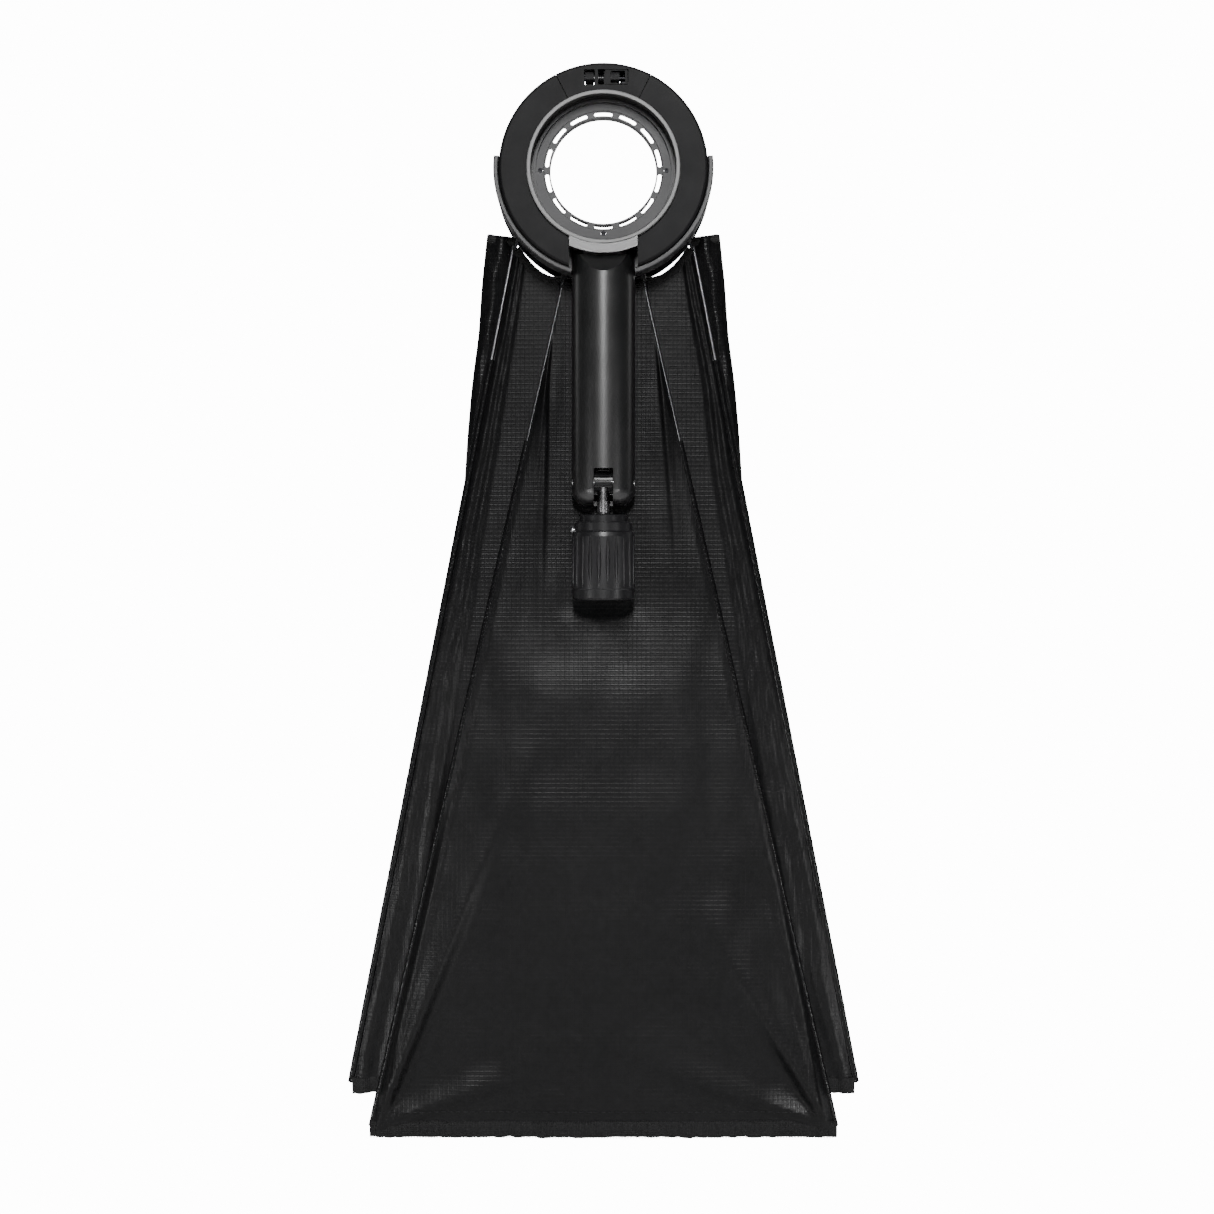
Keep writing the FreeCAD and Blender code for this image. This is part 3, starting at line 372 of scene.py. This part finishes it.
def hull_corners(node):
    """The four corners of a flat CAD panel, in X and Z: the neck is scalloped inward."""
    sheet = frame["nodes"][node].data
    points = sorted({(round(v.co.x, 5), round(v.co.z, 5)) for v in sheet.vertices})

    def half(ordered):
        chain = []
        for point in ordered:
            while len(chain) > 1 and turn(chain[-2], chain[-1], point) <= 1e-9:
                chain.pop()
            chain.append(point)
        return chain[:-1]

    def turn(a, b, c):
        return (b[0] - a[0]) * (c[1] - a[1]) - (b[1] - a[1]) * (c[0] - a[0])

    hull = half(points) + half(points[::-1])
    while len(hull) > 4:
        areas = [abs(turn(hull[k - 1], hull[k], hull[(k + 1) % len(hull)]))
                 for k in range(len(hull))]
        hull.pop(areas.index(min(areas)))
    hull = [Vector((x, 0, z)) for x, z in hull]
    neck = sorted(sorted(hull, key=lambda p: -p.z)[:2], key=lambda p: p.x)
    mouth = sorted(sorted(hull, key=lambda p: p.z)[:2], key=lambda p: p.x)
    return neck, mouth


class Panel:
    """A cloth panel in the place of its CAD sheet, with its folds and its hems."""

    def __init__(self, name, body, scallop, facing, folds):
        self.name, self.body = name, body
        self.neck, self.mouth = hull_corners(name)
        low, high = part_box(name)
        self.depth = (low[1] + high[1]) / 2
        self.scallop = scallop
        self.facing = facing
        self.folds = folds

    def flat_point(self, across, down):
        """A point of the flat sheet: across from left to right, down from neck to mouth."""
        neck = self.neck[0].lerp(self.neck[1], across)
        neck.z -= self.scallop * 4 * across * (1 - across)
        return neck.lerp(self.mouth[0].lerp(self.mouth[1], across), down)

    def point(self, across, down, lift=0.0):
        made = self.flat_point(across, down)
        made.y = self.depth + self.facing * (self.folds(made, across, down) + lift)
        return made

    def sheet(self, columns=120, rows=220):
        vertices = []
        for row in range(rows):
            for column in range(columns):
                vertices.append(self.point(column / (columns - 1), row / (rows - 1)))
        piece = make_piece("cloth_" + self.name, vertices, grid_faces(columns, rows),
                           "cloth_black", self.body)
        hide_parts(self.name)
        return piece

    def flat_size(self):
        """The sheet's width at the mouth, its length and its area, less the neck's scallop."""
        width = (self.mouth[1] - self.mouth[0]).length
        length = ((self.mouth[0] + self.mouth[1]) / 2 - (self.neck[0] + self.neck[1]) / 2).length
        neck = (self.neck[1] - self.neck[0]).length
        area = length * (width + neck) / 2 - 2 / 3 * self.scallop * neck
        return width, length, area


def smooth_step(share):
    share = max(0.0, min(1.0, share))
    return share * share * (3 - 2 * share)


def ridge(point, start, end, width, height):
    """A long fold between two (x, z) places, crisp on one side and soft on the other."""
    ax, az = start
    dx, dz = end[0] - ax, end[1] - az
    length = math.hypot(dx, dz)
    share = ((point.x - ax) * dx + (point.z - az) * dz) / length ** 2
    off = ((point.x - ax) * dz - (point.z - az) * dx) / length
    if share < -0.05 or share > 1.0:
        return 0.0
    fade = smooth_step((share + 0.05) * 5) * (1 - share) ** 1.2
    spread = width * (0.3 + share) * (0.5 if off * dx > 0 else 1.5)
    return height * fade * math.exp(-(off / spread) ** 2)


def edge_fade(across, down, reach=0.03):
    """0 on the ribs and 1 well inside the panel."""
    return min(1.0, across / reach, (1 - across) / reach)


def bottom_folds(point, across, down):
    """The front panel: pulled from both lower corners, and clear of the grip and receiver."""
    pulls = 0.0
    for start, end, width, height in FRONT_PULLS:
        pulls += ridge(point, start, end, width, height * MM)
    billow = math.sin(math.pi * across) * math.sin(math.pi * min(1, down * 1.02)) ** 1.5
    wave = noise.noise(Vector((point.x * 22, 0.3, point.z * 9)))
    pulls += 5.0 * MM * billow * down + 2.2 * MM * (wave + 0.5) * down
    twists = 0.0
    for start, end, foot, width, height in GRIP_TWISTS:
        twists += ridge(point, (start, TWIST_TOP), (end, foot), width, height * MM)
    fine = noise.noise(Vector((point.x * 60, 2.0, point.z * 26)))
    twists += 0.8 * MM * (fine + 0.5)
    gap = math.hypot(max(abs(point.x) - 0.019, 0.0), max(-0.240 - point.z, 0.0))
    room = pulls * smooth_step(gap / 0.055) + twists * smooth_step(gap / 0.010)
    return room * edge_fade(across, down)


def side_folds(seed, outer_left, height):
    """A panel whose outer strip shows beside the front one: long folds along its rib."""

    def folds(point, across, down):
        strip = across if outer_left else 1 - across
        visible = math.exp(-((strip - 0.05) / 0.05) ** 2)
        long_wave = math.sin(strip * 95 + 2.5 * noise.noise(Vector((seed, 0, point.z * 14))))
        total = height * visible * (0.5 + 0.5 * long_wave) * (0.3 + 0.7 * down)
        total += 0.0006 * visible * (1 + noise.noise(Vector((point.x * 150, seed, point.z * 60))))
        return total * min(1.0, strip / 0.012) + quiet_folds(seed)(point, across, down)

    return folds


def quiet_folds(seed):
    """A panel pressed between others: only a slight unevenness."""
    return lambda point, across, down: 0.00012 * noise.noise(
        Vector((point.x * 40, seed, point.z * 18)))


def back_folds(point, across, down):
    """The back panel, which hangs free behind: billows and pulls like the front one."""
    total = 0.0
    for reach, top, width, height in BACK_PULLS:
        total += ridge(point, (-0.108, -0.530), (-0.108 + reach, top), width, height)
        total += ridge(point, (0.108, -0.530), (0.108 - reach, top + 0.02), width, height)
    billow = math.sin(math.pi * across) * math.sin(math.pi * down) ** 1.3
    wave = noise.noise(Vector((point.x * 20, 8.3, point.z * 10)))
    total += 0.004 * billow + 0.0016 * (wave + 0.5) * billow
    return total * edge_fade(across, down)


def mouth_hem(panel):
    """The overlocked band along a panel's mouth, a little fuzzy and not quite straight."""
    path = []
    for k in range(160):
        across = k / 159
        point = panel.point(across, 1.0)
        point.z += 3.0 * MM + 0.5 * MM * noise.noise(Vector((across * 30, panel.depth * 90, 0)))
        path.append(point)
    return swept("hem_" + panel.name, path, oval(0.75 * MM, 4.6 * MM, 14), "binding",
                 panel.body, wobble=0.16)


def overlock(panel):
    """The thread loops that wrap the hem's lower edge, one every 1.6 mm."""
    width = (panel.mouth[1] - panel.mouth[0]).length
    count, turns, sides = int(width / (1.6 * MM)), 14, 3
    vertices, faces = [], []
    for k in range(count):
        centre = panel.point((k + 0.5) / count, 1.0)
        centre.z += 3.0 * MM
        ring = []
        for j in range(turns):
            turn = 2 * math.pi * j / turns
            ring.append(centre + Vector((0.8 * MM * math.sin(turn), 1.0 * MM * math.sin(turn),
                                         -4.9 * MM * math.cos(turn))))
        start = len(vertices)
        for j, point in enumerate(ring):
            tangent = (ring[(j + 1) % turns] - ring[j - 1]).normalized()
            out = (point - centre).normalized()
            side = tangent.cross(out).normalized()
            for i in range(sides):
                turn = 2 * math.pi * i / sides
                spoke = out * math.cos(turn) + side * math.sin(turn)
                vertices.append(point + spoke * 0.16 * MM)
        for j in range(turns):
            here, there = start + j * sides, start + (j + 1) % turns * sides
            for i in range(sides):
                after = (i + 1) % sides
                faces.append((here + i, here + after, there + after, there + i))
    return make_piece("overlock_" + panel.name, vertices, faces, "thread", panel.body)


def neck_binding(panel):
    """A folded tape along the scalloped neck."""
    path = [panel.point(k / 60, 0.0) for k in range(61)]
    return swept("binding_" + panel.name, path, oval(0.55 * MM, 2.4 * MM, 10), "binding",
                 panel.body, wobble=0.12)


def stitches(panel, down):
    """A run of stitches across the panel, 3 mm long with 1 mm between."""
    width = (panel.point(1, down) - panel.point(0, down)).length
    count, sides = int(width / (4 * MM)), 6
    vertices, faces = [], []
    for k in range(count):
        first = panel.point((k + 0.12) / count, down, 0.18 * MM)
        last = panel.point((k + 0.86) / count, down, 0.18 * MM)
        along = last - first
        start = len(vertices)
        for j in range(sides):
            share = j / (sides - 1)
            fat = 0.24 * MM * math.sqrt(max(0.05, 1 - (2 * share - 1) ** 4))
            for i in range(sides):
                turn = 2 * math.pi * i / sides
                spoke = Vector((0, math.cos(turn), math.sin(turn)))
                vertices.append(first + along * share + spoke * fat)
        faces += grid_faces(sides, sides, start, closed=True)
        end = start + sides * (sides - 1)
        faces.append(tuple(start + i for i in range(sides)))
        faces.append(tuple(end + i for i in reversed(range(sides))))
    return make_piece("stitches_" + panel.name, vertices, faces, "thread", panel.body)


def rib_ends(node):
    """The rod's two ends, from its CAD mesh."""
    points = [v.co.copy() for v in frame["nodes"][node].data.vertices]
    high = max(p.z for p in points)
    low = min(p.z for p in points)
    top = [p for p in points if p.z > high - 1.5 * MM]
    bottom = [p for p in points if p.z < low + 1.5 * MM]
    return sum(top, Vector()) / len(top), sum(bottom, Vector()) / len(bottom)


def rib_channel(rib, body, facing, start):
    """The cloth channel sewn round a rib: it sags and puckers a little between stitches."""
    top, bottom = rib_ends(rib)
    along = bottom - top
    path = []
    for k in range(180):
        share = start + (0.999 - start) * k / 179
        pucker = 0.15 * MM * math.sin(k * 0.9) * noise.noise(Vector((k * 0.21, top.x * 90, 3)))
        path.append(top + along * share + Vector((0, facing * (0.35 * MM) + pucker, 0)))
    swept("channel_" + rib, path, oval(1.75 * MM, 2.0 * MM, 14), "cloth_satin", body,
          wobble=0.10)


def rib_cap(rib, body):
    """The moulded cap in the pocket at a rib's tip."""
    top, bottom = rib_ends(rib)
    along = (bottom - top).normalized()
    across = Vector((0, 1, 0))
    side = along.cross(across).normalized()
    rows, sides = 10, 16
    vertices = []
    for k in range(rows):
        share = k / (rows - 1)
        point = bottom + along * (share - 1.0) * CAP_LENGTH
        fat = 1.9 * MM * math.sqrt(max(0.02, 1 - share ** 5))
        for i in range(sides):
            turn = 2 * math.pi * i / sides
            vertices.append(point + (across * math.cos(turn) + side * math.sin(turn)) * fat)
    faces = grid_faces(sides, rows, closed=True)
    faces.append(tuple(range(sides)))
    faces.append(tuple((rows - 1) * sides + i for i in reversed(range(sides))))
    piece = make_piece("cap_" + rib, vertices, faces, "knob_black", body)


def shoulder(side, body):
    """The doubled cloth that stands out beside the outer rib at the top of the fold."""
    top, bottom = rib_ends("rib_low_" + side)
    sign = 1 if side == "right" else -1
    along = (bottom - top).normalized()
    columns, rows = 26, 70
    vertices = []
    for layer in (0, 1):
        for row in range(rows):
            down = row / (rows - 1)
            width = SHOULDER_REACH * (1 - down) ** 0.8 * (1 + 0.05 * math.sin(down * 11 + layer))
            for column in range(columns):
                out = column / (columns - 1)
                point = top + along * (SHOULDER_START + SHOULDER_LENGTH * down)
                point.x += sign * width * out
                curl = 2.2 * MM * math.sin(math.pi * out) * (1 - 0.6 * down)
                wave = 0.5 * MM * noise.noise(Vector((out * 3, layer * 5, down * 9)))
                point.y += (2 * layer - 1) * (0.4 * MM + curl) * (1 - out ** 6) + wave
                point.z += 2.0 * MM * out * (1 - down)
                vertices.append(point)
    count = columns * rows
    faces = grid_faces(columns, rows)
    faces += [tuple(reversed(face)) for face in grid_faces(columns, rows, count)]
    for row in range(rows - 1):
        a = row * columns + columns - 1
        faces.append((a, a + count, a + count + columns, a + columns))
    piece = make_piece("shoulder_" + side, vertices, faces, "cloth_satin", body)
    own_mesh(piece)


def shoulder_hem(side, body):
    """The bound edge along the top of the doubled cloth."""
    top, bottom = rib_ends("rib_low_" + side)
    sign = 1 if side == "right" else -1
    along = (bottom - top).normalized()
    path = []
    for k in range(24):
        out = k / 23
        point = top + along * SHOULDER_START
        point.x += sign * 15.4 * MM * out
        point.z += 2.0 * MM * out - 2.2 * MM
        path.append(point)
    piece = swept("shoulder_hem_" + side, path, oval(2.0 * MM, 2.7 * MM, 14), "binding", body,
                  wobble=0.15)
    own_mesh(piece)


def cloth_work():
    plan = [
        Panel("panel_bottom", "bottom_frame", 6 * MM, -1, bottom_folds),
        Panel("panel_low_left", "low_left", 18 * MM, -1, side_folds(1.7, True, 2.8 * MM)),
        Panel("panel_low_right", "low_right", 18 * MM, -1, side_folds(4.1, False, 2.8 * MM)),
        Panel("panel_side_left", "flap_left", 18 * MM, -1, quiet_folds(2.2)),
        Panel("panel_side_right", "flap_right", 18 * MM, -1, quiet_folds(3.3)),
        Panel("panel_high_left", "high_left", 18 * MM, 1, side_folds(5.9, True, 2.4 * MM)),
        Panel("panel_high_right", "high_right", 18 * MM, 1, side_folds(6.4, False, 2.4 * MM)),
        Panel("panel_top", "top_frame", 6 * MM, 1, back_folds),
    ]
    for panel in plan:
        sheet = panel.sheet()
        extras = [mouth_hem(panel), neck_binding(panel)]
        if panel.name in ("panel_bottom", "panel_top"):
            extras.append(overlock(panel))
            extras.append(stitches(panel, 0.973))
        width, length, area = panel.flat_size()
    for hand in ("left", "right"):
        ribs = ((f"rib_bottom_{hand}", "bottom_frame", -1, 0.20),
                (f"rib_low_{hand}", f"low_{hand}", -1, 0.16),
                (f"rib_high_{hand}", f"high_{hand}", 1, 0.16),
                (f"rib_top_{hand}", "top_frame", 1, 0.20))
        for rib, body, facing, start in ribs:
            rib_channel(rib, body, facing, start)
        for rib, body, _, _ in ribs:
            rib_cap(rib, body)
        shoulder(hand, f"low_{hand}")
        shoulder_hem(hand, f"low_{hand}")


# ---------------------------------------------------------------- studio


def white_to_camera(tree, plain, white, output):
    """Camera rays see plain white, and every other ray sees the plain shader."""
    seen = tree.nodes.new("ShaderNodeLightPath").outputs["Is Camera Ray"]
    mixed = tree.nodes.new("ShaderNodeMixShader")
    tree.links.new(seen, mixed.inputs["Fac"])
    tree.links.new(plain, mixed.inputs[1])
    tree.links.new(white, mixed.inputs[2])
    tree.links.new(mixed.outputs["Shader"], output)


def add_backdrop():
    """A paper sweep: a floor below the object, curving up into a wall behind it."""
    floor, bend, start, steps = -0.68, 0.8, 1.6, 24
    outline = [(-4.0, floor)]
    for k in range(steps + 1):
        turn = math.pi / 2 * k / steps
        outline.append((start + bend * math.sin(turn), floor + bend * (1 - math.cos(turn))))
    outline.append((start + bend, 4.0))
    vertices = [(x, y, z) for y, z in outline for x in (-5.0, 5.0)]
    faces = [(2 * k, 2 * k + 1, 2 * k + 3, 2 * k + 2) for k in range(len(outline) - 1)]
    mesh = bpy.data.meshes.new("backdrop")
    mesh.from_pydata(vertices, [], faces)
    for face in mesh.polygons:
        face.use_smooth = True
    backdrop = bpy.data.objects.new("backdrop", mesh)
    bpy.context.scene.collection.objects.link(backdrop)
    paper = Shader("backdrop_paper", (0.85, 0.85, 0.85), 0.9)
    glow = paper.node("ShaderNodeEmission")
    glow.inputs["Strength"].default_value = WHITE_OUT
    white_to_camera(paper.material.node_tree, paper.base.outputs["BSDF"],
                    glow.outputs["Emission"], paper.nodes["Material Output"].inputs["Surface"])
    mesh.materials.append(paper.material)


def add_lamps():
    for name, place, aim, width, height, power, spread in LAMPS:
        light = bpy.data.lights.new(name, "AREA")
        light.shape = "RECTANGLE"
        light.size, light.size_y, light.energy = width, height, power
        light.spread = math.radians(spread)
        holder = bpy.data.objects.new(name, light)
        holder.location = place
        direction = Vector(aim) - Vector(place)
        holder.rotation_euler = direction.to_track_quat("-Z", "Y").to_euler()
        bpy.context.scene.collection.objects.link(holder)


def add_world():
    world = bpy.data.worlds.new("studio")
    world.use_nodes = True
    nodes = world.node_tree.nodes
    nodes["Background"].inputs["Color"].default_value = (1, 1, 1, 1)
    nodes["Background"].inputs["Strength"].default_value = 0.03
    shown = nodes.new("ShaderNodeBackground")
    shown.inputs["Color"].default_value = (1, 1, 1, 1)
    shown.inputs["Strength"].default_value = WHITE_OUT
    white_to_camera(world.node_tree, nodes["Background"].outputs["Background"],
                    shown.outputs["Background"], nodes["World Output"].inputs["Surface"])
    bpy.context.scene.world = world


def set_camera():
    camera = bpy.data.cameras.new("camera")
    camera.sensor_width = 36.0
    camera.angle = 2 * math.atan(VIEW_WIDTH / 2 / -CAMERA_AT[1])
    holder = bpy.data.objects.new("camera", camera)
    holder.location = CAMERA_AT
    holder.rotation_euler = (math.pi / 2, 0, 0)
    bpy.context.scene.collection.objects.link(holder)
    bpy.context.scene.camera = holder


dress_cad_nodes()
cloth_work()
add_backdrop()
add_lamps()
add_world()
set_camera()
